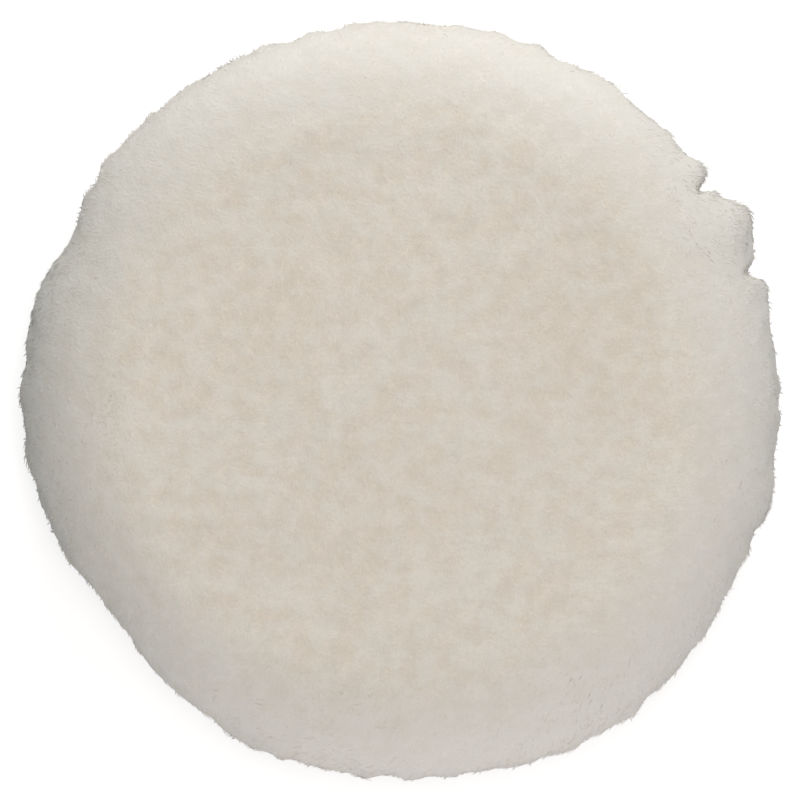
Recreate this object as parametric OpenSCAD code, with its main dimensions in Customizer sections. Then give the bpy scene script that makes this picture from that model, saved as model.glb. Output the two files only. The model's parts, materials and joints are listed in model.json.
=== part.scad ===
// Lambswool polishing pad with a hook-and-loop back.
//
// A lambskin with its wool on is stretched over a foam cushion and a stiff disc, turned under
// and gathered in pleats. A loop-faced disc with a bound edge is sewn over the gathers, and a
// moulded ring in its middle centres the pad on the machine's backing plate.
// The pad lies on its loop face: origin at the middle of that face, +Z out through the wool.

/* [Pad] */
// Overall diameter, over the wool
pad_d = 180; // [150:1:230]
// Length of the wool
pile_len = 14; // [8:0.5:20]
// How far the middle of the wool face stands above its edge
face_crown = 1.5; // [0.5:0.1:4]
// Height of the wool's lower lip above the loop face
lip_lift = 0.4; // [0.2:0.1:1]
// Thickness of the skin
hide_t = 1.2; // [0.6:0.1:2.5]

/* [Cushion] */
// Thickness of the foam
foam_t = 12; // [10:0.5:25]
// Rounding of the foam's working edge
foam_edge_r = 6; // [2:0.5:8]
// Depth of the foam's blind hole over the centring ring
well_depth = 5; // [1:0.5:7]
// Thickness of the stiff disc under the foam
plate_t = 1; // [0.5:0.1:3]

/* [Gathered hem] */
// Width of skin turned under
hem_w = 16; // [12:0.5:24]
// Number of pleats that take up the spare skin
pleats = 30; // [12:1:40]
// Thickness of a folded pleat below the skin
pleat_t = 1; // [0.9:0.1:2]
// Distance of the gathering thread from the hem's cut edge
gather_in = 3; // [2:0.5:6]

/* [Loop backing] */
// Height of the loops
nap_t = 1.6; // [1.3:0.1:3]
// Thickness of the cloth that carries the loops
cloth_t = 0.6; // [0.3:0.1:1.2]
// Thickness of the binding tape
tape_t = 0.6; // [0.3:0.1:0.7]
// Width of the binding tape on each side of the cloth
tape_w = 7; // [5:0.5:12]
// Distance of the tape's edge inside the skin's edge
tape_inset = 0.4; // [0.2:0.1:2]

/* [Thread] */
// Radius of the sewing thread
thread_r = 0.2; // [0.1:0.05:0.25]
// Distance from one stitch to the next
stitch_pitch = 4.4; // [3.4:0.2:8]
// Length of thread that shows in one stitch
stitch_len = 2.8; // [1.5:0.1:3.2]
// Distance of the sewn rows from the tape's two edges
row_in = 1.8; // [1:0.1:2.2]

/* [Centring ring] */
// Radius of the ring's bore
ring_bore_r = 8; // [5:0.5:12]
// Wall of the ring's barrel
ring_wall = 1.2; // [0.8:0.1:2.5]
// Width of the ring's flange outside the barrel
flange_w = 3.3; // [2:0.1:6]
// Thickness of the ring's flange
flange_t = 1; // [0.6:0.1:1.2]
// Thickness of the lip that is rolled over the washer
ring_lip_t = 0.6; // [0.4:0.1:0.8]
// Thickness of the washer
washer_t = 0.8; // [0.4:0.1:1]
// Width of the washer outside the barrel
washer_w = 3.8; // [2.5:0.1:6]

/* [Hidden] */
$fn = 96;
fit_gap = 0.1;      // clearance round the ring's barrel
lay_gap = 0.3;      // gap between pieces that lie side by side
thread_gap = 0.05;  // clearance of a thread in its hole
lip_in = 2;         // width of the wool's flat lower lip
arc_steps = 12;     // straight steps in each of the wool's curves
pleat_tip = 0.6;    // width of a pleat where it runs out at the rim

// Heights, counted up from the loop face
z_cloth = nap_t;
z_felt = z_cloth + cloth_t;
z_pleat = z_felt + tape_t;
z_hem = z_pleat + pleat_t;
z_plate = z_hem + hide_t;
z_foam = z_plate + plate_t;
z_foam_top = z_foam + foam_t;
z_hide_top = z_foam_top + hide_t;
z_face = z_hide_top + pile_len;
z_mid = z_foam_top - foam_edge_r;  // where the straight side meets the rounded shoulder
z_washer = z_plate - ring_lip_t - washer_t;

// Radii, counted in from the wool's edge
hide_r = pad_d / 2 - pile_len;
core_r = hide_r - hide_t;
shoulder_r = core_r - foam_edge_r;
hem_r = hide_r - hem_w;
tape_r = hide_r - tape_inset;
tape_in_r = tape_r - tape_w;
cloth_r = tape_r - tape_t;

// Radii, counted out from the ring's bore
barrel_r = ring_bore_r + ring_wall;
flange_r = barrel_r + flange_w;
lip_r = barrel_r + flange_w / 3;
washer_r = barrel_r + washer_w;
well_r = lip_r + lay_gap;

// The wool's lower edge is a quarter ellipse from its widest height down to its lip
lip_a = pile_len - lip_in;
lip_b = z_mid - lip_lift;
split_angle = asin((z_plate - z_mid) / lip_b);
pleat_w = 2 * PI * hem_w / pleats;  // half of the spare skin at the cut edge, folded double

// A flat ring from radius r_in to r_out and from height z0 to z1
module flat_ring(r_in, r_out, z0, z1) {
    rotate_extrude()
        translate([r_in, z0])
            square([r_out - r_in, z1 - z0]);
}

// Half section inside the surface that runs "out" beyond the foam, from height z0 up
module domed_section(out, z0) {
    translate([0, z0])
        square([core_r + out, z_mid - z0]);
    translate([0, z_mid])
        square([shoulder_r, foam_edge_r + out]);
    intersection() {
        translate([shoulder_r, z_mid])
            circle(r = foam_edge_r + out);
        translate([shoulder_r, z_mid])
            square(foam_edge_r + out);
    }
}

// Points on the wool's lower edge from angle a0 to a1, where 0 is the widest and -90 the lip
function lower_edge(a0, a1) =
    [for (i = [0:arc_steps]) let (a = a0 + (a1 - a0) * i / arc_steps)
        [hide_r + lip_in + lip_a * cos(a), z_mid + lip_b * sin(a)]];

// Points on the wool's rounded shoulder, from just above the widest up to the face
function shoulder_edge() =
    [for (i = [1:arc_steps - 1]) let (a = 90 * i / arc_steps)
        [shoulder_r + (foam_edge_r + hide_t + pile_len) * cos(a),
         z_mid + (foam_edge_r + hide_t + pile_len) * sin(a)]];

// The brushed loops that the hooks of the backing plate grip
module loop_nap() {
    color([0.86, 0.86, 0.84])
        flat_ring(flange_r + lay_gap, tape_in_r - lay_gap, 0, z_cloth);
}

// The woven cloth that carries the loops
module loop_cloth() {
    color([0.80, 0.80, 0.78])
        flat_ring(barrel_r + fit_gap, cloth_r, z_cloth, z_felt);
}

// Twill tape folded round the cloth's cut edge
module binding_tape() {
    color([0.90, 0.88, 0.82])
        rotate_extrude()
            polygon([
                [tape_in_r, z_cloth - tape_t], [tape_r, z_cloth - tape_t],
                [tape_r, z_pleat], [tape_in_r, z_pleat],
                [tape_in_r, z_felt], [cloth_r, z_felt],
                [cloth_r, z_cloth], [tape_in_r, z_cloth]
            ]);
}

// One row of lockstitches, as the lengths of thread that lie on the underside of the tape
module stitch_row(row_r) {
    count = round(2 * PI * row_r / stitch_pitch);
    stitch_angle = stitch_len / row_r * 180 / PI;
    color([0.93, 0.92, 0.88])
        for (i = [0:count - 1])
            rotate([0, 0, i * 360 / count])
                rotate_extrude(angle = stitch_angle)
                    translate([row_r, z_cloth - tape_t - thread_r])
                        circle(r = thread_r, $fn = 16);
}

module outer_stitches() {
    stitch_row(tape_r - row_in);
}

module inner_stitches() {
    stitch_row(tape_in_r + row_in);
}

// Moulded ring: flange on the loop side, barrel through the backing, lip rolled over the washer
module centring_ring() {
    color([0.93, 0.93, 0.91])
        rotate_extrude()
            polygon([
                [ring_bore_r, z_cloth - flange_t], [flange_r, z_cloth - flange_t],
                [flange_r, z_cloth], [barrel_r, z_cloth],
                [barrel_r, z_plate - ring_lip_t], [lip_r, z_plate - ring_lip_t],
                [lip_r, z_plate], [ring_bore_r, z_plate]
            ]);
}

module ring_washer() {
    color([0.78, 0.79, 0.80])
        flat_ring(barrel_r + fit_gap, washer_r, z_washer, z_washer + washer_t);
}

// Felt that fills the flat inside the gathered hem, cut away for the washer
module felt_filler() {
    color([0.74, 0.72, 0.68])
        rotate_extrude()
            polygon([
                [barrel_r + fit_gap, z_felt], [hem_r - lay_gap, z_felt],
                [hem_r - lay_gap, z_plate], [washer_r + lay_gap, z_plate],
                [washer_r + lay_gap, z_washer], [barrel_r + fit_gap, z_washer]
            ]);
}

// Stiff disc that the skin is pulled over
module stiffener_disc() {
    color([0.88, 0.88, 0.86])
        flat_ring(well_r, core_r, z_plate, z_foam);
}

module foam_cushion() {
    color([0.95, 0.90, 0.62])
        rotate_extrude()
            difference() {
                domed_section(0, z_foam);
                translate([0, z_foam])
                    square([well_r, well_depth]);
            }
}

// A spare fold of the turned-under skin, widest at the cut edge and running out at the rim
module pleat() {
    translate([0, 0, z_pleat])
        linear_extrude(pleat_t + hide_t / 2)
            polygon([
                [hem_r + lay_gap, 0], [core_r - hide_t, 0],
                [core_r - hide_t, pleat_tip], [hem_r + lay_gap, pleat_w]
            ]);
}

module gathering_ring(r) {
    rotate_extrude()
        translate([hem_r + gather_in, z_pleat + pleat_t / 2])
            circle(r = r, $fn = 24);
}

// Half section of the skin: over the face, down the side and turned under
module hide_section() {
    difference() {
        domed_section(hide_t, z_plate);
        domed_section(0, z_plate);
    }
    translate([hem_r, z_hem])
        square([core_r - hem_r, hide_t]);
    intersection() {
        translate([core_r, z_plate])
            circle(r = hide_t);
        translate([core_r, z_hem])
            square(hide_t);
    }
}

// The skin, with its hem gathered in pleats and pierced for the gathering thread
module lambskin_hide() {
    color([0.90, 0.84, 0.72])
        difference() {
            union() {
                rotate_extrude()
                    hide_section();
                for (i = [0:pleats - 1])
                    rotate([0, 0, i * 360 / pleats])
                        pleat();
            }
            gathering_ring(thread_r + thread_gap);
        }
}

// The thread that draws the pleats together
module gathering_thread() {
    color([0.93, 0.92, 0.88])
        gathering_ring(thread_r);
}

// Wool over the flat of the face, slightly crowned
module face_wool() {
    color([0.83, 0.79, 0.74])
        rotate_extrude()
            polygon(concat(
                [[0, z_hide_top], [shoulder_r, z_hide_top]],
                [for (i = [arc_steps:-1:0]) let (s = i / arc_steps)
                    [shoulder_r * s, z_face + face_crown * (1 - s * s)]]
            ));
}

// Wool round the shoulder and down the side
module rim_wool() {
    color([0.84, 0.81, 0.76])
        rotate_extrude()
            difference() {
                polygon(concat(
                    [[shoulder_r, z_face], [shoulder_r, z_plate]],
                    lower_edge(split_angle, 0),
                    shoulder_edge()
                ));
                domed_section(hide_t, z_plate);
            }
}

// Wool of the turned-under edge, which hides the sewn border from the side
module turned_wool() {
    color([0.84, 0.81, 0.76])
        rotate_extrude()
            polygon(concat(
                [[hide_r, lip_lift], [hide_r, z_plate]],
                lower_edge(split_angle, -90)
            ));
}

loop_nap();
loop_cloth();
binding_tape();
outer_stitches();
inner_stitches();
centring_ring();
ring_washer();
felt_filler();
stiffener_disc();
foam_cushion();
lambskin_hide();
gathering_thread();
face_wool();
rim_wool();
turned_wool();
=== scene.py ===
# %% [markdown]
# # A lambswool polishing pad
#
# The pad is a lambskin with its wool on, pulled over a foam cushion, gathered under and closed
# with a loop-faced disc. The CAD frame holds every layer at its real size. This lesson gives
# each layer its finish, and remakes the soft ones, because cloth and wool aren't hard solids.

# %% Load the frame
import json
import math

import bmesh
import bpy
import numpy as np
from mathutils import Matrix, Vector, noise

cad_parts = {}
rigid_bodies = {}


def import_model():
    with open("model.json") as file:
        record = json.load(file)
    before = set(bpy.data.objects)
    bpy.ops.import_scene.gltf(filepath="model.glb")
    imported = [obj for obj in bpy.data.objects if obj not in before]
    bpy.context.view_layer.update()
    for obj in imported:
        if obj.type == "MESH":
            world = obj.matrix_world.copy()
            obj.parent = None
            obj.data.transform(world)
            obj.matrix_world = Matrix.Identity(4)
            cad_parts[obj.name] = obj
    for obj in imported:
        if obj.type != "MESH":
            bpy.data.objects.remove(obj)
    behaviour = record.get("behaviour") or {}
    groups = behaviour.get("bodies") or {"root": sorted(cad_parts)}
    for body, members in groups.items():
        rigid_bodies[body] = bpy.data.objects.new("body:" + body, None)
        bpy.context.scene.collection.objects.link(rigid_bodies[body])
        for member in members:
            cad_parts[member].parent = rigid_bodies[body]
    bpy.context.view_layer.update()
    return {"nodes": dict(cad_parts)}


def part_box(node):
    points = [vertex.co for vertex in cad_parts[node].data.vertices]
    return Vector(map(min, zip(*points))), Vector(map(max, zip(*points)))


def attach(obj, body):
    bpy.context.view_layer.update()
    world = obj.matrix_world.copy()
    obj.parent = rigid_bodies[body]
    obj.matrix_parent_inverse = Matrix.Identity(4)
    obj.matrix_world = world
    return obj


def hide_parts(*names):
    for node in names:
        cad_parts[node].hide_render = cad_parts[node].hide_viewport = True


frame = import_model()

# %% [markdown]
# ## Measures
#
# Most sizes come from the boxes of the CAD nodes, so the looks follow the design when it
# changes; the rest are given in millimetres. The wool is the space between the skin and the
# outline of the two wool nodes.

# %% Measures from the frame
mm = 0.001
face_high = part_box("face_wool")[1]
rim_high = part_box("rim_wool")[1]
pad_r = rim_high.x
hide_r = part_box("lambskin_hide")[1].x
flat_r = face_high.x
pile = pad_r - hide_r
shoulder_r = pad_r - flat_r
mid_z = rim_high.z - shoulder_r
crown = face_high.z - rim_high.z
soft_r = 60 * mm  # where the face starts to round off
soft_reach = pad_r - soft_r
lip_r = hide_r + 2 * mm
lip_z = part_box("turned_wool")[0].z
skin_gap = 0.1 * mm  # between the wool and the skin
ground_gap = 0.1 * mm  # between the wool and the table
same_place = 0.005 * mm  # points nearer than this are one point
print(f"pad radius {pad_r / mm:.1f} mm, wool {pile / mm:.1f} mm long, widest {mid_z / mm:.1f} mm up")


# %% Small helpers
def add_object(name, mesh):
    """Puts a mesh in the scene as a piece that rides on the pad's one body."""
    piece = bpy.data.objects.new(name, mesh)
    bpy.context.scene.collection.objects.link(piece)
    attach(piece, "root")
    return piece


def count_triangles(mesh):
    mesh.calc_loop_triangles()
    return len(mesh.loop_triangles)


def smooth_step(low, high, x):
    """0 below low, 1 above high, and a soft ramp between them."""
    t = min(max((x - low) / (high - low), 0.0), 1.0)
    return t * t * (3 - 2 * t)


# %% [markdown]
# ## Camera and light
#
# The camera hangs straight above the face and looks down, with a long lens that keeps the
# round outline round. A broad key light comes low from behind the pad, slightly from the right,
# and makes the bright crescent at its far edge. A soft light above lights the face evenly, a
# third fills in from the front, and a pale cool world lights the rim all round.

# %% Camera
scene = bpy.context.scene
lens = 120
sensor = 36
frame_width = 2.105 * pad_r  # the pad nearly fills the picture
camera_data = bpy.data.cameras.new("camera")
camera_data.lens = lens
camera_data.sensor_width = sensor
camera = bpy.data.objects.new("camera", camera_data)
camera.location = (0, 0, mid_z + frame_width * lens / sensor)
scene.collection.objects.link(camera)
scene.camera = camera
print(f"camera {camera.location.z:.3f} m above the floor")


# %% Lights
def add_light(name, place, size, power, colour):
    """A square area light that faces the middle of the pad."""
    data = bpy.data.lights.new(name, "AREA")
    data.shape = "SQUARE"
    data.size = size
    data.energy = power
    data.color = colour
    light = bpy.data.objects.new(name, data)
    light.location = place
    light.rotation_euler = (Vector((0, 0, mid_z)) - Vector(place)).to_track_quat("-Z", "Y").to_euler()
    scene.collection.objects.link(light)


for light_plan in (
    # name, place (m), size (m), power (W), colour
    ("key", (0.17, 0.94, 0.26), 0.7, 7.8, (0.96, 0.96, 0.96)),
    ("top", (0.0, 0.1, 1.1), 0.8, 3.8, (0.97, 0.85, 0.74)),
    ("front", (0.2, -0.9, 0.24), 0.6, 4.1, (0.96, 0.91, 0.93)),
):
    add_light(*light_plan)

# %% World
world = bpy.data.worlds.new("studio")
world.use_nodes = True
sky_tree = world.node_tree
studio_glow = sky_tree.nodes["Background"]
studio_glow.inputs["Color"].default_value = (0.8, 0.92, 1.0, 1.0)
studio_glow.inputs["Strength"].default_value = 0.32
white_wall = sky_tree.nodes.new("ShaderNodeBackground")
white_wall.inputs["Strength"].default_value = 1.0
white_wall.inputs["Color"].default_value = (1.0, 1.0, 1.0, 1.0)
seen = sky_tree.nodes.new("ShaderNodeLightPath")
choice = sky_tree.nodes.new("ShaderNodeMixShader")
sky_tree.links.new(seen.outputs["Is Camera Ray"], choice.inputs["Fac"])
sky_tree.links.new(studio_glow.outputs["Background"], choice.inputs[1])
sky_tree.links.new(white_wall.outputs["Background"], choice.inputs[2])
sky_tree.links.new(choice.outputs["Shader"], sky_tree.nodes["World Output"].inputs["Surface"])
scene.world = world
scene.view_settings.view_transform = "Standard"

# %% [markdown]
# ## The floor
#
# A plain white table. It is clear from below, so a camera under it can see the pad's back,
# which stays in the table's shade. Light that reaches the pad bounces off a greyer floor than
# the one that is seen, so the underside isn't lit too strongly.

# %% Floor
floor_reach = 6.0
bm = bmesh.new()
bmesh.ops.create_grid(bm, x_segments=1, y_segments=1, size=floor_reach)
floor_mesh = bpy.data.meshes.new("floor")
bm.to_mesh(floor_mesh)
bm.free()
floor = bpy.data.objects.new("floor", floor_mesh)
scene.collection.objects.link(floor)

# %% Floor paint
floor_paint = bpy.data.materials.new("floor_paint")
floor_paint.use_nodes = True
tree = floor_paint.node_tree
bounce = tree.nodes["Principled BSDF"]
look = tree.nodes.new("ShaderNodeBsdfPrincipled")
for paint, grey in ((bounce, 0.4), (look, 0.9)):
    paint.inputs["Base Color"].default_value = (grey, grey, grey, 1)
    paint.inputs["Roughness"].default_value = 0.9
    paint.inputs["Specular IOR Level"].default_value = 0.1
look.inputs["Emission Color"].default_value = (1, 1, 1, 1)
look.inputs["Emission Strength"].default_value = 0.45
clear = tree.nodes.new("ShaderNodeBsdfTransparent")
seen = tree.nodes.new("ShaderNodeLightPath")
side = tree.nodes.new("ShaderNodeNewGeometry")
by_ray = tree.nodes.new("ShaderNodeMixShader")
by_side = tree.nodes.new("ShaderNodeMixShader")
tree.links.new(seen.outputs["Is Camera Ray"], by_ray.inputs["Fac"])
tree.links.new(bounce.outputs["BSDF"], by_ray.inputs[1])
tree.links.new(look.outputs["BSDF"], by_ray.inputs[2])
tree.links.new(side.outputs["Backfacing"], by_side.inputs["Fac"])
tree.links.new(by_ray.outputs["Shader"], by_side.inputs[1])
tree.links.new(clear.outputs["BSDF"], by_side.inputs[2])
tree.links.new(by_side.outputs["Shader"], tree.nodes["Material Output"].inputs["Surface"])
floor_mesh.materials.append(floor_paint)

# %% [markdown]
# ## The shape of the fleece
#
# Wool could be made as particle hair, as a fur shader, or as real geometry. A part that is
# reused in other programs needs real geometry, so the fleece is a solid body with soft relief,
# and thousands of small curved locks on top that give the nap its grain and its soft outline.
#
# The body starts as a half section that is spun round the axis: over the face, round the
# shoulder, under the lip and back along the skin.


# %% Fleece section
def arc_points(x, z, a, b, start, end, steps):
    """Points on an ellipse about (x, z), with half axes a and b, between two angles in degrees."""
    angles = [math.radians(start + (end - start) * i / steps) for i in range(steps + 1)]
    return [(x + a * math.cos(t), z + b * math.sin(t)) for t in angles]


def fleece_section():
    """The closed half section of the wool, from the middle of the face round to the skin."""
    skin_r = hide_r - flat_r + skin_gap
    steps = 8
    face = [(soft_r * i / steps, rim_high.z + crown * (1 - (i / steps) ** 2)) for i in range(steps)]
    shoulder = arc_points(soft_r, mid_z, soft_reach, shoulder_r, 90, 0, 14)
    lip = arc_points(lip_r, mid_z, pad_r - lip_r, mid_z - lip_z, 0, -90, 10)[1:]
    wall = [(hide_r + skin_gap, lip_z), (hide_r + skin_gap, mid_z)]
    skin = arc_points(flat_r, mid_z, skin_r, skin_r, 0, 90, 8)[1:]
    return face + shoulder + lip + wall + skin + [(0, mid_z + skin_r)]


def spin_section(points, steps, closed=False):
    """A bmesh with the section turned once round the Z axis, its poles and seam closed."""
    bm = bmesh.new()
    verts = [bm.verts.new((r, 0, z)) for r, z in points]
    edges = [bm.edges.new(pair) for pair in zip(verts, verts[1:])]
    if closed:
        edges.append(bm.edges.new((verts[-1], verts[0])))
    bmesh.ops.spin(
        bm, geom=verts + edges, cent=(0, 0, 0), axis=(0, 0, 1), angle=2 * math.pi,
        steps=steps, use_merge=True,
    )
    bmesh.ops.remove_doubles(bm, verts=bm.verts, dist=same_place)
    bmesh.ops.recalc_face_normals(bm, faces=bm.faces)
    return bm


def evaluated_mesh(piece, name):
    """The piece's mesh with its modifiers applied."""
    depsgraph = bpy.context.evaluated_depsgraph_get()
    mesh = bpy.data.meshes.new_from_object(piece.evaluated_get(depsgraph))
    mesh.name = name
    return mesh


# %% Even faces over the fleece
fleece_steps = 180
voxel = 1.1 * mm
bm = spin_section(fleece_section(), fleece_steps)
cage_mesh = bpy.data.meshes.new("fleece_cage")
bm.to_mesh(cage_mesh)
bm.free()
cage = bpy.data.objects.new("fleece_cage", cage_mesh)
scene.collection.objects.link(cage)
remesh = cage.modifiers.new("even_faces", "REMESH")
remesh.mode = "VOXEL"
remesh.voxel_size = voxel
fleece_mesh = evaluated_mesh(cage, "fleece_body")
bpy.data.objects.remove(cage)
print(f"fleece body: {count_triangles(fleece_mesh)} triangles")

# %% [markdown]
# ## A hand-sewn outline
#
# A skin that is gathered by hand is never a true circle. Each pull of the thread draws the rim
# in, and the wool swells between the pulls. A short list names the few swells and hollows that
# catch the eye, each a smooth hump with a direction, a width and a rise, like a sculptor's
# pushes and pulls. The pile also rises and falls over the face in soft hollows.

# %% Outline and relief
rim_swells = [
    # direction (degrees), half width (degrees), rise (mm)
    (38, 2, 2.0),  # a tuft above the parting at the upper right
    (35, 1, -3.5),  # the parting
    (28, 4, 4.5),  # the broad lobe below it
    (20, 1, -2.0),  # where that lobe ends
    (17, 2, 1.0),  # the next tuft
    (345, 4, 2.0),  # a small lobe low on the right
    (305, 22, 3.0),  # pile pushed out by use
    (218, 18, -4.5),  # pile worn back on the other side
    (155, 6, -2.5),  # a shallow dip
]


least_reach = 6 * mm
most_reach = 25 * mm


def rim_swell(angle, r):
    """How far the wool stands out at an angle and a radius, in metres.

    Each swell is a smooth hump or hollow, and a wide one reaches further in from the rim."""
    rise = 0.0
    for direction, half_width, size in rim_swells:
        turn = (angle - direction + 180) % 360 - 180
        reach = min(max(3 * math.radians(half_width) * pad_r, least_reach), most_reach)
        share = smooth_step(pad_r - reach, 0.99 * pad_r, r)
        rise += size * math.exp(-((turn / half_width) ** 2)) * share
    return rise * mm


def pile_height(p):
    """Distance of a point from the skin and the direction away from it."""
    r = math.hypot(p.x, p.y)
    across = max(r - flat_r, 0.0)
    up = max(p.z - mid_z, 0.0)
    length = math.hypot(across, up)
    if length < 1e-6:
        return 0.0, Vector((0, 0, 1))
    radial = Vector((p.x, p.y, 0)) / max(r, 1e-6)
    out = (radial * across + Vector((0, 0, up))) / length
    return length - (hide_r - flat_r), out


nap_depth = 0.8 * mm  # room for the locks that stand on the body
hollow_wave = 17 * mm
tuft_wave = 6 * mm


def tuft_relief(p):
    """Rise of the body at a point: wide hollows and tufts, below the nap that covers them.

    The wool on the upright side isn't pressed flat by work, so its tufts stand out more."""
    upright = 1 - smooth_step(mid_z, mid_z + 0.6 * shoulder_r, p.z)
    hollows = noise.noise(p / hollow_wave) * 0.6
    tufts = noise.noise(p / tuft_wave + Vector((7, 3, 1))) * (0.4 + 0.9 * upright)
    return (hollows + tufts - nap_depth / mm) * mm


# The relief fades out towards the skin, where the body has to stay clear of the hide.
for vertex in fleece_mesh.vertices:
    p = vertex.co.copy()
    height, out = pile_height(p)
    depth = smooth_step(0.1 * pile, 0.8 * pile, height)
    r = math.hypot(p.x, p.y)
    swell = rim_swell(math.degrees(math.atan2(p.y, p.x)), r) * depth
    radial = Vector((p.x, p.y, 0)) / max(r, 1e-6)
    q = p + out * tuft_relief(p) * depth + radial * swell
    q.z = max(q.z, ground_gap)
    vertex.co = q
fleece_mesh.update()

# %% [markdown]
# ## Locks of wool
#
# One lock is a thin three-sided cone that curls over. It is made once, and then set down
# thousands of times on the body, each with its own length, lean and lay. The lay swirls slowly
# over the face, as brushed wool does, and falls outward round the rim.


# %% One lock
waist_width = 1.6  # a lock is fullest half way along


def lock_shape():
    """Vertices and faces of one lock, one unit wide at its root and one unit long."""
    bm = bmesh.new()
    bmesh.ops.create_cone(
        bm, cap_ends=True, cap_tris=False, segments=3, radius1=0.5, radius2=0.0, depth=1.0,
        matrix=Matrix.Translation((0, 0, 0.5)),
    )
    bmesh.ops.bisect_plane(
        bm, geom=bm.verts[:] + bm.edges[:] + bm.faces[:], plane_co=(0, 0, 0.5), plane_no=(0, 0, 1),
    )
    waist = [v for v in bm.verts if abs(v.co.z - 0.5) < 0.01]
    bmesh.ops.scale(bm, vec=(waist_width, waist_width, 1), verts=waist)
    bmesh.ops.remove_doubles(bm, verts=bm.verts, dist=0.001)
    bmesh.ops.triangulate(bm, faces=bm.faces)
    bm.verts.index_update()
    corners = np.array([v.co[:] for v in bm.verts])
    faces = np.array([[v.index for v in f.verts] for f in bm.faces])
    bm.free()
    return corners, faces


lock_corners, lock_faces = lock_shape()
print(f"one lock: {len(lock_corners)} vertices, {len(lock_faces)} triangles")

# %% Where the locks stand
def surface_points(mesh, number, seed, keep):
    """Random points spread evenly over the part of a mesh that keep() accepts, with normals."""
    mesh.calc_loop_triangles()
    corners = np.zeros(len(mesh.vertices) * 3)
    mesh.vertices.foreach_get("co", corners)
    corners = corners.reshape(-1, 3)
    triangles = np.zeros(len(mesh.loop_triangles) * 3, np.int32)
    mesh.loop_triangles.foreach_get("vertices", triangles)
    a, b, c = (corners[triangles.reshape(-1, 3)[:, i]] for i in range(3))
    cross = np.cross(b - a, c - a)
    double_area = np.linalg.norm(cross, axis=1)
    middle = (a + b + c) / 3
    weight = double_area * keep(middle)
    draw = np.random.default_rng(seed)
    chosen = draw.choice(len(weight), number, p=weight / weight.sum())
    u, v = draw.random(number), draw.random(number)
    u, v = np.where(u + v > 1, 1 - u, u), np.where(u + v > 1, 1 - v, v)
    points = a[chosen] + (b - a)[chosen] * u[:, None] + (c - a)[chosen] * v[:, None]
    return points, cross[chosen] / double_area[chosen][:, None]


def on_face(middle):
    r = np.hypot(middle[:, 0], middle[:, 1])
    return (middle[:, 2] > mid_z + 0.6 * shoulder_r) & (r < flat_r)


lip_margin = 1.2 * mm  # no locks this near to the skin, where the lip turns under


def on_rim(middle):
    r = np.hypot(middle[:, 0], middle[:, 1])
    from_arc = np.hypot(np.maximum(r - flat_r, 0), np.maximum(middle[:, 2] - mid_z, 0))
    outside = from_arc - (hide_r - flat_r)
    upper = (r >= flat_r) & (outside > 0.35 * pile) & (middle[:, 2] >= mid_z)
    lower = (r > hide_r + lip_margin) & (middle[:, 2] < mid_z)
    return upper | lower


def soft_field(points, wave, seed):
    """A smooth random vector at each point, from a few crossed sine waves of about one length."""
    draw = np.random.default_rng(seed)
    field = np.zeros_like(points)
    for _ in range(5):
        across = draw.normal(size=3)
        across *= 2 * math.pi / (wave * draw.uniform(0.7, 1.5) * np.linalg.norm(across))
        field += np.sin(points @ across + draw.uniform(0, 6.3))[:, None] * draw.normal(size=3)
    return field / math.sqrt(5)


def smooth_out(points):
    """The direction away from the skin at each point, without the relief."""
    r = np.hypot(points[:, 0], points[:, 1])
    radial = points * (1, 1, 0) / np.maximum(r, 1e-6)[:, None]
    across = np.maximum(r - soft_r, 0) / soft_reach**2
    up = (points[:, 2] - mid_z) / shoulder_r**2
    out = radial * across[:, None] + np.outer(up, (0, 0, 1))
    return out / np.linalg.norm(out, axis=1)[:, None]


def unit(vectors):
    return vectors / np.maximum(np.linalg.norm(vectors, axis=1), 1e-9)[:, None]


def soften_normals(mesh, on_top, at_side):
    """Turns the mesh's normals towards the smooth shape of the fleece, as light spreads in wool.

    on_top and at_side say how far, from 0 to 1, on the face and on the upright rim."""
    mesh.shade_smooth()
    places = np.zeros(len(mesh.vertices) * 3)
    own = np.zeros(len(mesh.vertices) * 3)
    mesh.vertices.foreach_get("co", places)
    mesh.vertices.foreach_get("normal", own)
    out = smooth_out(places.reshape(-1, 3))
    softness = at_side + (on_top - at_side) * np.clip(out[:, 2:], 0, 1)
    soft = own.reshape(-1, 3) * (1 - softness) + out * softness
    mesh.normals_split_custom_set_from_vertices(unit(soft).tolist())


swirl_wave = 60 * mm
clump_wave = 5 * mm


def lay_directions(points, normals):
    """The way the wool lies at each point, along the surface."""
    slow = soft_field(points, swirl_wave, 3)
    clump = soft_field(points, clump_wave, 4)
    stray = np.random.default_rng(5).normal(size=points.shape)
    radial = points * (1, 1, 0) / pad_r
    pull = np.clip((np.linalg.norm(radial, axis=1) - 0.8) / 0.15, 0, 1)[:, None]
    lay = slow + clump * 0.6 + stray * 0.45 + radial * (0.1 + 1.1 * pull) - pull * (0, 0, 0.5)
    return unit(lay - normals * np.sum(lay * normals, axis=1)[:, None])


flatness = 0.7  # a lock is thinner than it is wide
bow = 0.32  # how far its tip bends over, as a share of its length


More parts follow.
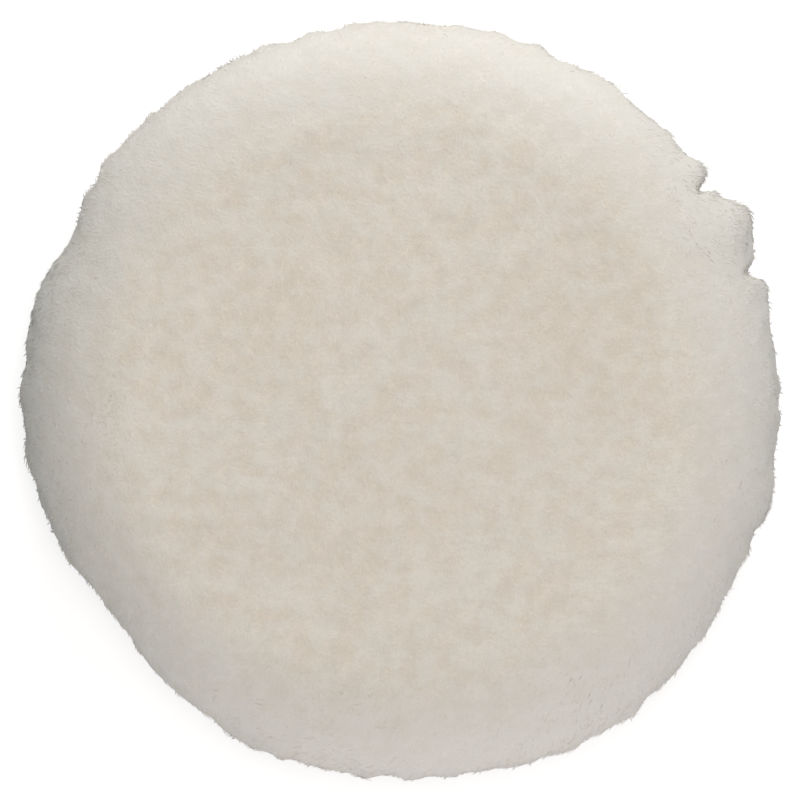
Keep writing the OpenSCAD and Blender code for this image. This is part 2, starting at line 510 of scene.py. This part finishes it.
def plant_locks(name, mesh, number, seed, keep, length, width, lean, sink):
    """A piece of many locks. Length, width, lean and sink give the smallest and largest values."""
    points, normals = surface_points(mesh, number, seed, keep)
    draw = np.random.default_rng(seed + 1)
    lengths = draw.uniform(*length, number) * mm
    widths = draw.uniform(*width, number) * mm
    leans = np.radians(draw.uniform(*lean, number))
    sinks = draw.uniform(*sink, number) * mm
    tones = draw.random(number)
    lays = lay_directions(points, normals)
    axes = normals * np.cos(leans)[:, None] + lays * np.sin(leans)[:, None]
    bends = lays * np.cos(leans)[:, None] - normals * np.sin(leans)[:, None]
    sides = np.cross(axes, bends)
    x, y, z = lock_corners.T
    curl = bow * z * z
    x = x * flatness
    placed = (
        (points - normals * sinks[:, None])[:, None, :]
        + axes[:, None, :] * (z * 0.97)[None, :, None] * lengths[:, None, None]
        + bends[:, None, :]
        * (curl[None, :] * lengths[:, None] + x[None, :] * widths[:, None])[..., None]
        + sides[:, None, :] * (y[None, :] * widths[:, None])[..., None]
    )
    per_lock = len(lock_corners)
    faces = lock_faces[None] + (np.arange(number) * per_lock)[:, None, None]
    mesh_out = bpy.data.meshes.new(name)
    flat = placed.reshape(-1, 3)
    flat[:, 2] = np.maximum(flat[:, 2], ground_gap)
    mesh_out.from_pydata(flat.tolist(), [], faces.reshape(-1, 3).tolist())
    tone = mesh_out.attributes.new("tone", "FLOAT", "POINT")
    tone.data.foreach_set("value", np.repeat(tones, per_lock).astype(np.float32))
    tip = mesh_out.attributes.new("tip", "FLOAT", "POINT")
    tip.data.foreach_set("value", np.tile(z, number).astype(np.float32))
    soften_normals(mesh_out, 0.86, 0.4)
    piece = add_object(name, mesh_out)
    piece.visible_shadow = False
    print(f"{name}: {number} locks, {count_triangles(mesh_out)} triangles")
    return piece


# %% [markdown]
# ## Wool, the material
#
# Lambswool is matt and a warm cream. The body is painted a little darker than the locks on it,
# as painted shade under them. Each lock is painted darker at its root and paler and more neutral
# at its tip, as painted shade between the locks. The shoulder is painted paler and more neutral,
# most toward its top, as painted light. One node group makes both the slow stain of colour and
# the small mottling, so that the body and the locks share it and can have their own values.


# %% Node helpers
def new_group(name, inputs, outputs):
    """An empty shader node group with float or colour sockets."""
    group = bpy.data.node_groups.new(name, "ShaderNodeTree")
    for socket_name, kind, value in inputs:
        socket = group.interface.new_socket(socket_name, in_out="INPUT", socket_type=kind)
        socket.default_value = value
    for socket_name, kind in outputs:
        group.interface.new_socket(socket_name, in_out="OUTPUT", socket_type=kind)
    start = group.nodes.new("NodeGroupInput")
    end = group.nodes.new("NodeGroupOutput")
    return group, start, end


def add_noise(tree, vector, scale, detail, rough=0.5):
    """A noise texture on a vector."""
    node = tree.nodes.new("ShaderNodeTexNoise")
    node.inputs["Scale"].default_value = scale
    node.inputs["Detail"].default_value = detail
    node.inputs["Roughness"].default_value = rough
    tree.links.new(vector, node.inputs["Vector"])
    return node


def add_range(tree, value, from_low, from_high, to_low=0.0, to_high=1.0):
    """A map range that clamps."""
    node = tree.nodes.new("ShaderNodeMapRange")
    for socket, number in zip(node.inputs[1:5], (from_low, from_high, to_low, to_high)):
        socket.default_value = number
    tree.links.new(value, node.inputs["Value"])
    return node


def add_mix(tree, factor, a, b):
    """A colour mix. Each of the three inputs is a socket or a fixed value."""
    node = tree.nodes.new("ShaderNodeMix")
    node.data_type = "RGBA"
    for socket, value in ((node.inputs[0], factor), (node.inputs[6], a), (node.inputs[7], b)):
        if isinstance(value, bpy.types.NodeSocket):
            tree.links.new(value, socket)
        else:
            socket.default_value = value
    return node


def add_math(tree, operation, a, b=0.0):
    """A maths node. Each input is a socket or a number."""
    node = tree.nodes.new("ShaderNodeMath")
    node.operation = operation
    for socket, value in ((node.inputs[0], a), (node.inputs[1], b)):
        if isinstance(value, bpy.types.NodeSocket):
            tree.links.new(value, socket)
        else:
            socket.default_value = value
    return node


# %% Fleece tone group
COLOUR = "NodeSocketColor"
FLOAT = "NodeSocketFloat"
VECTOR = "NodeSocketVector"

fleece_tone, start, end = new_group(
    "fleece_tone",
    [("Position", VECTOR, (0, 0, 0)), ("Warm", COLOUR, (1, 1, 1, 1)), ("Pale", COLOUR, (1, 1, 1, 1)),
     ("Blush", COLOUR, (1, 1, 1, 1)), ("Ash", COLOUR, (1, 1, 1, 1)), ("Mottle", FLOAT, 0.5)],
    [("Color", COLOUR), ("Height", FLOAT)],
)
# A noise scale counts features in a metre: 28 gives clouds about 36 mm wide, 250 gives clumps of
# 4 mm, and 1500 gives fibres.
cloudy = add_noise(fleece_tone, start.outputs["Position"], 28, 2)
clumps = add_noise(fleece_tone, start.outputs["Position"], 250, 3)
fibres = add_noise(fleece_tone, start.outputs["Position"], 1500, 2)
stains = add_noise(fleece_tone, start.outputs["Position"], 170, 2)
lanes = fleece_tone.nodes.new("ShaderNodeMapping")
lanes.inputs["Location"].default_value = (0.031, 0.017, 0.0)
lanes.inputs["Rotation"].default_value = (0, 0, math.radians(8))
lanes.inputs["Scale"].default_value = (0.22, 1, 1)
fleece_tone.links.new(start.outputs["Position"], lanes.inputs["Vector"])
brushed = add_noise(fleece_tone, lanes.outputs["Vector"], 240, 2)
cloud_mask = add_range(fleece_tone, cloudy.outputs["Fac"], 0.35, 0.65)
clump_mask = add_range(fleece_tone, clumps.outputs["Fac"], 0.36, 0.64)
lane_mask = add_range(fleece_tone, brushed.outputs["Fac"], 0.5, 0.72)
lane_share = add_math(
    fleece_tone, "MULTIPLY", lane_mask.outputs["Result"], cloud_mask.outputs["Result"]
)
blend = add_math(fleece_tone, "MULTIPLY", clump_mask.outputs["Result"], start.outputs["Mottle"])
lane_part = add_math(fleece_tone, "MULTIPLY", lane_share.outputs[0], 0.9)
wide_part = add_math(fleece_tone, "MULTIPLY", cloud_mask.outputs["Result"], 0.25)
both = add_math(fleece_tone, "ADD", wide_part.outputs[0], lane_part.outputs[0])
share = add_math(fleece_tone, "ADD", blend.outputs[0], both.outputs[0])
share.use_clamp = True
toned = add_mix(fleece_tone, share.outputs[0], start.outputs["Warm"], start.outputs["Pale"])
blush_mask = add_range(fleece_tone, stains.outputs["Fac"], 0.54, 0.68, 0, 0.55)
ash_mask = add_range(fleece_tone, stains.outputs["Fac"], 0.46, 0.32, 0, 0.55)
blushed = add_mix(fleece_tone, blush_mask.outputs["Result"], toned.outputs[2], start.outputs["Blush"])
ashen = add_mix(fleece_tone, ash_mask.outputs["Result"], blushed.outputs[2], start.outputs["Ash"])
relief = add_math(fleece_tone, "MULTIPLY", fibres.outputs["Fac"], 0.4)
height = add_math(fleece_tone, "ADD", clumps.outputs["Fac"], relief.outputs[0])
fleece_tone.links.new(ashen.outputs[2], end.inputs["Color"])
fleece_tone.links.new(height.outputs[0], end.inputs["Height"])


# %% Polar place group
# A polar place on the pad: how far round in metres at the pad's rim, and how far out.
polar_place, start, end = new_group(
    "polar_place", [("Position", VECTOR, (0, 0, 0)), ("Radius", FLOAT, 0.07)],
    [("Around", FLOAT), ("Out", FLOAT)],
)
parts = polar_place.nodes.new("ShaderNodeSeparateXYZ")
polar_place.links.new(start.outputs["Position"], parts.inputs["Vector"])
turn = add_math(polar_place, "ARCTAN2", parts.outputs["Y"], parts.outputs["X"])
around = add_math(polar_place, "MULTIPLY", turn.outputs[0], start.outputs["Radius"])
xx = add_math(polar_place, "MULTIPLY", parts.outputs["X"], parts.outputs["X"])
yy = add_math(polar_place, "MULTIPLY", parts.outputs["Y"], parts.outputs["Y"])
rr = add_math(polar_place, "ADD", xx.outputs[0], yy.outputs[0])
out = add_math(polar_place, "SQRT", rr.outputs[0])
polar_place.links.new(around.outputs[0], end.inputs["Around"])
polar_place.links.new(out.outputs[0], end.inputs["Out"])


# %% Wool materials
def new_material(name):
    """A material with its tree and its Principled BSDF."""
    material = bpy.data.materials.new(name)
    material.use_nodes = True
    return material, material.node_tree, material.node_tree.nodes["Principled BSDF"]


def object_position(tree):
    return tree.nodes.new("ShaderNodeTexCoord").outputs["Object"]


def place_group(tree, group, **values):
    """A node group in a material, with its inputs set by name."""
    node = tree.nodes.new("ShaderNodeGroup")
    node.node_tree = group
    for socket_name, value in values.items():
        socket = node.inputs[socket_name.replace("_", " ")]
        if isinstance(value, bpy.types.NodeSocket):
            tree.links.new(value, socket)
        else:
            socket.default_value = value
    return node


def add_bump(tree, surface, height, distance, strength=1.0):
    """A bump node between a height and the surface's normal."""
    bump = tree.nodes.new("ShaderNodeBump")
    bump.inputs["Strength"].default_value = strength
    bump.inputs["Distance"].default_value = distance
    tree.links.new(height, bump.inputs["Height"])
    tree.links.new(bump.outputs["Normal"], surface.inputs["Normal"])
    return bump


def wool_material(name, warm, pale, edge, by_lock):
    """Matt wool, painted paler and more neutral round the shoulder as painted light, and less so on the
    upright side.

    With by_lock, each lock has its own tone and a paler tip, painted shade that darkens it towards its
    root."""
    material, tree, surface = new_material(name)
    tone = place_group(
        tree, fleece_tone, Position=object_position(tree), Warm=warm, Pale=pale, Mottle=0.75,
        Blush=(0.775, 0.695, 0.595, 1), Ash=(0.80, 0.76, 0.685, 1),
    )
    colour = tone.outputs["Color"]
    if by_lock:
        own = tree.nodes.new("ShaderNodeAttribute")
        own.attribute_name = "tone"
        tip = tree.nodes.new("ShaderNodeAttribute")
        tip.attribute_name = "tip"
        shade = add_range(tree, own.outputs["Fac"], 0, 1, 0, 0.45)
        # Painted shade: each lock darkens from its tip down to its root, in place of the shadow between
        # the locks.
        root_shade_lift = add_range(tree, tip.outputs["Fac"], 0.2, 1.0, 0, 0.5)
        share = add_math(tree, "ADD", shade.outputs["Result"], root_shade_lift.outputs["Result"])
        colour = add_mix(tree, share.outputs[0], colour, pale).outputs[2]
    place = place_group(tree, polar_place, Position=object_position(tree), Radius=pad_r)
    parts = tree.nodes.new("ShaderNodeSeparateXYZ")
    tree.links.new(object_position(tree), parts.inputs["Vector"])
    # Painted light: the shoulder is mixed toward the paler, more neutral edge colour, most toward its
    # top and less on the upright side; clean is that share.
    outer = add_range(tree, place.outputs["Out"], soft_r, 0.96 * pad_r)
    upper = add_range(tree, parts.outputs["Z"], mid_z, 0.8 * rim_high.z, 0.3, 0.8)
    clean = add_math(tree, "MULTIPLY", outer.outputs["Result"], upper.outputs["Result"])
    colour = add_mix(tree, clean.outputs[0], colour, edge).outputs[2]
    tree.links.new(colour, surface.inputs["Base Color"])
    surface.inputs["Roughness"].default_value = 0.95
    surface.inputs["Specular IOR Level"].default_value = 0.15
    surface.inputs["Sheen Weight"].default_value = 0.15
    surface.inputs["Sheen Roughness"].default_value = 0.6
    add_bump(tree, surface, tone.outputs["Height"], 0.25 * mm)
    return material


# Painted shade: the body's colours are a little darker than the locks', for the shade under the locks.
wool_body_shaded = wool_material(
    "wool_body_shaded", (0.75, 0.68, 0.58, 1), (0.815, 0.765, 0.69, 1), (0.79, 0.76, 0.705, 1), False
)
wool_locks = wool_material(
    "wool_locks", (0.755, 0.688, 0.59, 1), (0.835, 0.785, 0.715, 1), (0.81, 0.78, 0.725, 1), True
)

# %% Put the fleece together
fleece = add_object("fleece_body", fleece_mesh)
fleece_mesh.materials.clear()
fleece_mesh.materials.append(wool_body_shaded)
soften_normals(fleece_mesh, 0.75, 0.4)
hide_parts("face_wool", "rim_wool", "turned_wool")

locks_per_piece = 19900
face_nap = dict(length=(1.8, 3.0), width=(0.2, 0.42), lean=(38, 72), sink=(0.3, 0.7))
rim_nap = dict(length=(1.8, 3.4), width=(0.26, 0.52), lean=(56, 82), sink=(0.3, 0.7))
lock_plans = [
    ("face_locks_a", 11, on_face, face_nap),
    ("face_locks_b", 21, on_face, face_nap),
    ("face_locks_c", 31, on_face, face_nap),
    ("rim_locks_a", 41, on_rim, rim_nap),
    ("rim_locks_b", 51, on_rim, rim_nap),
    ("rim_locks_c", 61, on_rim, rim_nap),
]
for name, seed, keep, nap in lock_plans:
    locks = plant_locks(name, fleece_mesh, locks_per_piece, seed, keep, **nap)
    locks.data.materials.append(wool_locks)

# %% [markdown]
# ## The back of the pad
#
# The back is a knitted disc whose small loops hold on to the hooks of a backing plate. A plain
# disc with a bump map would look flat from the side, so the loops are real: one loop is a
# three-sided thread turned through half a circle, and it is set down in rows, as it is knitted.


# %% Rounded rings
def shade_and_add(name, bm, material, slot_name, *nodes):
    """Turns a bmesh into a piece with a material and hides the CAD nodes it stands for. slot_name is
    not used.
    """
    mesh = bpy.data.meshes.new(name)
    bm.to_mesh(mesh)
    bm.free()
    mesh.materials.append(material)
    mesh.shade_smooth()
    piece = add_object(name, mesh)
    if nodes:
        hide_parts(*nodes)
    print(f"{name}: {count_triangles(mesh)} triangles")
    return piece


def spin_rounded(outline, steps, edge, segments=2):
    """A ring spun from a closed half section, with its sharp edges rounded."""
    bm = spin_section(outline, steps, closed=True)
    corner = math.radians(50)
    sharp = [e for e in bm.edges if len(e.link_faces) == 2 and e.calc_face_angle() > corner]
    bmesh.ops.bevel(
        bm, geom=sharp, offset=edge, offset_type="OFFSET", segments=segments, profile=0.5,
        affect="EDGES", clamp_overlap=True, material=-1,
    )
    return bm


# %% Thread, knit and twill
# Crossed ribs: two sine waves on two lengths, with a slant that makes them a twill. The troughs between
# the ribs take the Gap colour, painted shade between the threads.
weave, start, end = new_group(
    "weave",
    [("Along", FLOAT, 0.0), ("Across", FLOAT, 0.0), ("Pitch", FLOAT, 0.0006), ("Slant", FLOAT, 0.0),
     ("Weft", FLOAT, 1.0), ("Thread", COLOUR, (1, 1, 1, 1)), ("Gap", COLOUR, (0.5, 0.5, 0.5, 1))],
    [("Color", COLOUR), ("Height", FLOAT)],
)
turns = add_math(weave, "DIVIDE", 2 * math.pi, start.outputs["Pitch"])
slanted = add_math(weave, "MULTIPLY", start.outputs["Across"], start.outputs["Slant"])
sheared = add_math(weave, "ADD", start.outputs["Along"], slanted.outputs[0])
warp_phase = add_math(weave, "MULTIPLY", sheared.outputs[0], turns.outputs[0])
weft_phase = add_math(weave, "MULTIPLY", start.outputs["Across"], turns.outputs[0])
warp = add_math(weave, "SINE", warp_phase.outputs[0])
weft = add_math(weave, "SINE", weft_phase.outputs[0])
weft = add_math(weave, "MULTIPLY", weft.outputs[0], start.outputs["Weft"])
crossed = add_math(weave, "ADD", warp.outputs[0], weft.outputs[0])
crest = add_range(weave, crossed.outputs[0], -1.6, 1.6)
woven = add_mix(weave, crest.outputs["Result"], start.outputs["Gap"], start.outputs["Thread"])
weave.links.new(woven.outputs[2], end.inputs["Color"])
weave.links.new(crest.outputs["Result"], end.inputs["Height"])


# %% Cloth materials
def cloth_material(name, thread, gap, pitch, slant, weft, radius=None):
    """A woven or knitted cloth, in straight rows, or round the pad when a radius is given."""
    material, tree, surface = new_material(name)
    position = object_position(tree)
    if radius:
        place = place_group(tree, polar_place, Position=position, Radius=radius)
        along, across = place.outputs["Around"], place.outputs["Out"]
    else:
        parts = tree.nodes.new("ShaderNodeSeparateXYZ")
        tree.links.new(position, parts.inputs["Vector"])
        along, across = parts.outputs["X"], parts.outputs["Y"]
    cloth = place_group(
        tree, weave, Along=along, Across=across, Pitch=pitch, Slant=slant, Weft=weft, Thread=thread,
        Gap=gap,
    )
    # Soil mixes toward the gap colour, which is also the painted shade in the troughs of the weave.
    soil = add_noise(tree, position, 60, 3)
    worn = add_range(tree, soil.outputs["Fac"], 0.45, 0.75, 0, 0.25)
    colour = add_mix(tree, worn.outputs["Result"], cloth.outputs["Color"], gap)
    fuzz = add_noise(tree, position, 2600, 2)
    lint = add_math(tree, "MULTIPLY", fuzz.outputs["Fac"], 0.5)
    height = add_math(tree, "ADD", cloth.outputs["Height"], lint.outputs[0])
    tree.links.new(colour.outputs[2], surface.inputs["Base Color"])
    surface.inputs["Roughness"].default_value = 0.85
    surface.inputs["Specular IOR Level"].default_value = 0.2
    surface.inputs["Sheen Weight"].default_value = 0.15
    add_bump(tree, surface, height.outputs[0], 0.12 * mm)
    return material


loop_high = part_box("loop_nap")[1]
cloth_low, cloth_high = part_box("loop_cloth")
tape_low, tape_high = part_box("binding_tape")
knit_ground = cloth_material(
    "knit_ground", (0.82, 0.82, 0.79, 1), (0.5, 0.5, 0.48, 1), 1.0 * mm, 0.0, 1.0
)
tape_twill = cloth_material(
    "tape_twill", (0.78, 0.745, 0.66, 1), (0.5, 0.47, 0.4, 1), 0.8 * mm, 1.0, 0.25, tape_high.x
)

# %% The ground of the loop fabric
loop_out = loop_high.x
loop_in = 12.8 * mm
ground_low = 1.0 * mm
cloth_steps = 180
cloth_edge = 0.15 * mm
bm = spin_rounded(
    [(loop_in, ground_low), (loop_out, ground_low), (loop_out, loop_high.z), (loop_in, loop_high.z)],
    cloth_steps, cloth_edge,
)
bmesh.ops.recalc_face_normals(bm, faces=bm.faces)
shade_and_add("loop_ground", bm, knit_ground, "loop_nap", "loop_nap")

cloth_in = 9.3 * mm
bm = spin_rounded(
    [(cloth_in, cloth_low.z), (cloth_high.x, cloth_low.z), (cloth_high.x, cloth_high.z),
     (cloth_in, cloth_high.z)],
    cloth_steps, cloth_edge,
)
shade_and_add("loop_backing", bm, knit_ground, "loop_cloth", "loop_cloth")


# %% One loop and its rows
strand_r = 0.13 * mm
loop_r = 0.36 * mm
loop_stretch = 2.1


def loop_shape():
    """One loop of thread that hangs under z = 0, as vertices and faces. It is 1 mm wide."""
    bm = bmesh.new()
    ring = bmesh.ops.create_circle(
        bm, segments=3, radius=strand_r, matrix=Matrix.Translation((loop_r, 0, 0))
    )["verts"]
    edges = list({e for v in ring for e in v.link_edges})
    bmesh.ops.spin(
        bm, geom=ring + edges, cent=(0, 0, 0), axis=(0, 1, 0), angle=math.pi, steps=4,
    )
    bmesh.ops.scale(bm, vec=(1, 1, loop_stretch), verts=bm.verts)
    bmesh.ops.holes_fill(bm, edges=[e for e in bm.edges if e.is_boundary], sides=3)
    bmesh.ops.recalc_face_normals(bm, faces=bm.faces)
    bmesh.ops.triangulate(bm, faces=bm.faces)
    bm.verts.index_update()
    corners = np.array([v.co[:] for v in bm.verts])
    faces = np.array([[v.index for v in f.verts] for f in bm.faces])
    bm.free()
    if corners[:, 2].max() > strand_r:  # it stands up, so it is turned over to hang
        corners = corners * (1, -1, -1)
    return corners, faces


loop_corners, loop_faces = loop_shape()
print(f"one loop: {len(loop_faces)} triangles, {-loop_corners[:, 2].min() / mm:.2f} mm deep")
pitch = 1.0 * mm
row_stray = 0.13 * mm  # how far a loop stands from its place in the row
border = 0.6 * mm  # bare ground along both edges
rows = np.arange(-loop_out, loop_out, pitch)
grid = np.array([(x + (i % 2) * pitch / 2, y) for i, y in enumerate(rows) for x in rows])
draw = np.random.default_rng(71)
grid = grid + draw.normal(0, row_stray, grid.shape)
reach = np.hypot(grid[:, 0], grid[:, 1])
grid = grid[(reach < loop_out - border) & (reach > loop_in + border)]

# %% Loop pile
def plant_loops(name, spots, seed):
    """A piece of loops at the given spots, each turned and leant a little."""
    draw = np.random.default_rng(seed)
    turn = draw.normal(0, 0.7, len(spots))
    tall = draw.uniform(0.75, 1.0, len(spots))
    lean = draw.normal(0, 0.22, (len(spots), 2))
    x, y, z = loop_corners.T
    depth = z[None, :] * tall[:, None]
    placed = np.stack([
        spots[:, :1] + np.cos(turn)[:, None] * x - np.sin(turn)[:, None] * y + depth * lean[:, :1],
        spots[:, 1:] + np.sin(turn)[:, None] * x + np.cos(turn)[:, None] * y + depth * lean[:, 1:],
        ground_low + 0.05 * mm + depth,
    ], axis=2)
    placed[..., 2] = np.maximum(placed[..., 2], 0.02 * mm)
    faces = loop_faces[None] + (np.arange(len(spots)) * len(loop_corners))[:, None, None]
    mesh = bpy.data.meshes.new(name)
    mesh.from_pydata(placed.reshape(-1, 3).tolist(), [], faces.reshape(-1, 3).tolist())
    mesh.shade_smooth()
    mesh.materials.append(loop_thread)
    piece = add_object(name, mesh)
    print(f"{name}: {len(spots)} loops, {count_triangles(mesh)} triangles")


def thread_material(name, pale, deep, twist, radius):
    """Sewing or knitting thread: fine slanted strands with painted shade in the grooves between them,
    and a little dust.
    """
    material, tree, surface = new_material(name)
    position = object_position(tree)
    place = place_group(tree, polar_place, Position=position, Radius=radius)
    strands = place_group(
        tree, weave, Along=place.outputs["Around"], Across=place.outputs["Out"], Pitch=twist, Slant=1.2,
        Weft=0.1, Thread=pale, Gap=deep,
    )
    dust = add_noise(tree, position, 700, 2)
    share = add_range(tree, dust.outputs["Fac"], 0.4, 0.7, 0, 0.35)
    colour = add_mix(tree, share.outputs["Result"], strands.outputs["Color"], deep)
    tree.links.new(colour.outputs[2], surface.inputs["Base Color"])
    surface.inputs["Roughness"].default_value = 0.6
    surface.inputs["Sheen Weight"].default_value = 0.2
    add_bump(tree, surface, strands.outputs["Height"], 0.06 * mm)
    return material


loop_thread = thread_material(
    "loop_thread", (0.86, 0.86, 0.83, 1), (0.68, 0.68, 0.65, 1), 0.3 * mm, 40 * mm
)
half = len(grid) // 2
plant_loops("loop_pile_a", grid[:half], 81)
plant_loops("loop_pile_b", grid[half:], 82)

# %% [markdown]
# ## Tape, stitches and ring
#
# A cotton tape folds over the raw edge of the disc and is sewn to the skin by two rows of
# stitches. Each stitch pulls the tape down a little, so the tape puckers. The ring that centres
# the pad on its backing plate is moulded, with small rounded edges.

# %% Binding tape
tape_in = 68.6 * mm
fold_z = cloth_low.z
stitch_rows = {"outer_stitches": 73.8 * mm, "inner_stitches": 70.4 * mm}
stitch_pitch = 4.4 * mm
pucker_width = 0.9 * mm
pucker_depth = 0.18 * mm
bulge = 0.05 * mm  # the tape stands out between the puckers
tape_steps = 420
tape_edge = 0.2 * mm
bm = spin_rounded(
    [(tape_in, tape_low.z), (0.5 * (tape_in + tape_high.x), tape_low.z), (tape_high.x, tape_low.z),
     (tape_high.x, tape_high.z), (tape_in, tape_high.z), (tape_in, cloth_high.z),
     (cloth_high.x, cloth_high.z), (cloth_high.x, fold_z), (tape_in, fold_z)],
    tape_steps, tape_edge,
)
bmesh.ops.subdivide_edges(
    bm, cuts=3, use_grid_fill=True,
    edges=[e for e in bm.edges if abs(e.verts[0].co.z - tape_low.z) < 0.01 * mm
           and abs(e.verts[1].co.z - tape_low.z) < 0.01 * mm
           and abs(e.verts[0].co.xy.length - e.verts[1].co.xy.length) > 1 * mm],
)
for vertex in bm.verts:
    if vertex.co.z < fold_z - 0.1 * mm:
        angle = math.atan2(vertex.co.y, vertex.co.x)
        r = vertex.co.xy.length
        pucker = 0.0
        for row_r in stitch_rows.values():
            near = math.exp(-(((r - row_r) / pucker_width) ** 2))
            count = round(2 * math.pi * row_r / stitch_pitch)
            pucker += near * (0.5 + 0.5 * math.cos(angle * count))
        vertex.co.z += pucker_depth * pucker - bulge * (1 - pucker)
shade_and_add("tape_fold", bm, tape_twill, "binding_tape", "binding_tape")

# %% Sewing thread on the CAD stitches
white_thread = thread_material(
    "white_thread", (0.92, 0.92, 0.9, 1), (0.7, 0.69, 0.66, 1), 0.45 * mm, 72 * mm
)


def dress_node(node_name, material):
    """Gives a CAD node a new material. Its mesh stays as it is."""
    mesh = frame["nodes"][node_name].data
    mesh.materials.clear()
    mesh.materials.append(material)


for node_name in ("outer_stitches", "inner_stitches", "gathering_thread"):
    dress_node(node_name, white_thread)


# %% Centring ring
def plastic_material(name, clean, scuffed):
    """Satin moulded plastic with fine flow marks, and scuffs where it rubs."""
    material, tree, surface = new_material(name)
    position = object_position(tree)
    flow = add_noise(tree, position, 90, 3)
    scuffs = add_noise(tree, position, 900, 4, 0.7)
    worn = add_range(tree, scuffs.outputs["Fac"], 0.56, 0.72)
    share = add_math(tree, "MULTIPLY", worn.outputs["Result"], 0.5)
    colour = add_mix(tree, share.outputs[0], clean, scuffed)
    gloss = add_range(tree, flow.outputs["Fac"], 0.3, 0.7, 0.34, 0.46)
    rough = add_math(tree, "ADD", gloss.outputs["Result"], share.outputs[0])
    tree.links.new(colour.outputs[2], surface.inputs["Base Color"])
    tree.links.new(rough.outputs[0], surface.inputs["Roughness"])
    add_bump(tree, surface, scuffs.outputs["Fac"], 0.02 * mm)
    return material


ring_low, ring_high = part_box("centring_ring")
bore_r = 8.0 * mm
barrel_r = 9.2 * mm
rolled_r = 10.3 * mm
rolled_t = 0.6 * mm
ring_steps = 120
ring_edge = 0.2 * mm
ring_white = plastic_material("ring_white", (0.88, 0.88, 0.85, 1), (0.66, 0.66, 0.63, 1))
bm = spin_rounded(
    [(bore_r, ring_low.z), (ring_high.x, ring_low.z), (ring_high.x, cloth_low.z),
     (barrel_r, cloth_low.z), (barrel_r, ring_high.z - rolled_t), (rolled_r, ring_high.z - rolled_t),
     (rolled_r, ring_high.z), (bore_r, ring_high.z)],
    ring_steps, ring_edge, 3,
)
ring = shade_and_add("guide_ring", bm, ring_white, "ring_plastic", "centring_ring")
ring.data.set_sharp_from_angle(angle=math.radians(35))

# %% [markdown]
# ## Inside the pad
#
# The skin, the foam, the felt, the stiff disc and the washer are out of sight, but they are
# real parts of the pad, so each has its own finish for anyone who opens or cuts the model.


# %% Hidden layers
def fibre_material(name, light, dark, scale, depth, roughness=0.9, stretch=(1, 1, 1)):
    """Felt, foam or suede: a noise of fibres or cells in two tones, with relief."""
    material, tree, surface = new_material(name)
    mapping = tree.nodes.new("ShaderNodeMapping")
    mapping.inputs["Scale"].default_value = stretch
    tree.links.new(object_position(tree), mapping.inputs["Vector"])
    fine = add_noise(tree, mapping.outputs["Vector"], scale, 4, 0.65)
    wide = add_noise(tree, mapping.outputs["Vector"], scale / 14, 2)
    grain = add_range(tree, fine.outputs["Fac"], 0.35, 0.65)
    stain = add_range(tree, wide.outputs["Fac"], 0.35, 0.65, 0, 0.35)
    both = add_math(tree, "MULTIPLY", grain.outputs["Result"], 0.65)
    share = add_math(tree, "ADD", both.outputs[0], stain.outputs["Result"])
    colour = add_mix(tree, share.outputs[0], dark, light)
    tree.links.new(colour.outputs[2], surface.inputs["Base Color"])
    surface.inputs["Roughness"].default_value = roughness
    surface.inputs["Specular IOR Level"].default_value = 0.25
    add_bump(tree, surface, fine.outputs["Fac"], depth)
    return material


dress_node("lambskin_hide", fibre_material(
    "suede_skin", (0.82, 0.73, 0.60, 1), (0.64, 0.53, 0.40, 1), 900, 0.15 * mm))
dress_node("foam_cushion", fibre_material(
    "foam_cells", (0.90, 0.84, 0.56, 1), (0.62, 0.55, 0.32, 1), 1300, 0.3 * mm))
dress_node("felt_filler", fibre_material(
    "grey_felt", (0.74, 0.72, 0.68, 1), (0.48, 0.46, 0.43, 1), 700, 0.2 * mm, 0.95, (1, 2.5, 1)))
dress_node("stiffener_disc", plastic_material(
    "stiff_sheet", (0.86, 0.86, 0.84, 1), (0.70, 0.70, 0.68, 1)))

zinc, tree, surface = new_material("zinc_plate")
position = object_position(tree)
spangle = tree.nodes.new("ShaderNodeTexVoronoi")
spangle.inputs["Scale"].default_value = 600
tree.links.new(position, spangle.inputs["Vector"])
scratch = add_noise(tree, position, 1800, 3)
tint = add_range(tree, spangle.outputs["Distance"], 0.0, 0.8, 0.0, 0.6)
colour = add_mix(tree, tint.outputs["Result"], (0.78, 0.79, 0.80, 1), (0.62, 0.64, 0.67, 1))
dull = add_range(tree, scratch.outputs["Fac"], 0.35, 0.65, 0.28, 0.45)
tree.links.new(colour.outputs[2], surface.inputs["Base Color"])
tree.links.new(dull.outputs["Result"], surface.inputs["Roughness"])
surface.inputs["Metallic"].default_value = 1.0
add_bump(tree, surface, scratch.outputs["Fac"], 0.01 * mm)
dress_node("ring_washer", zinc)
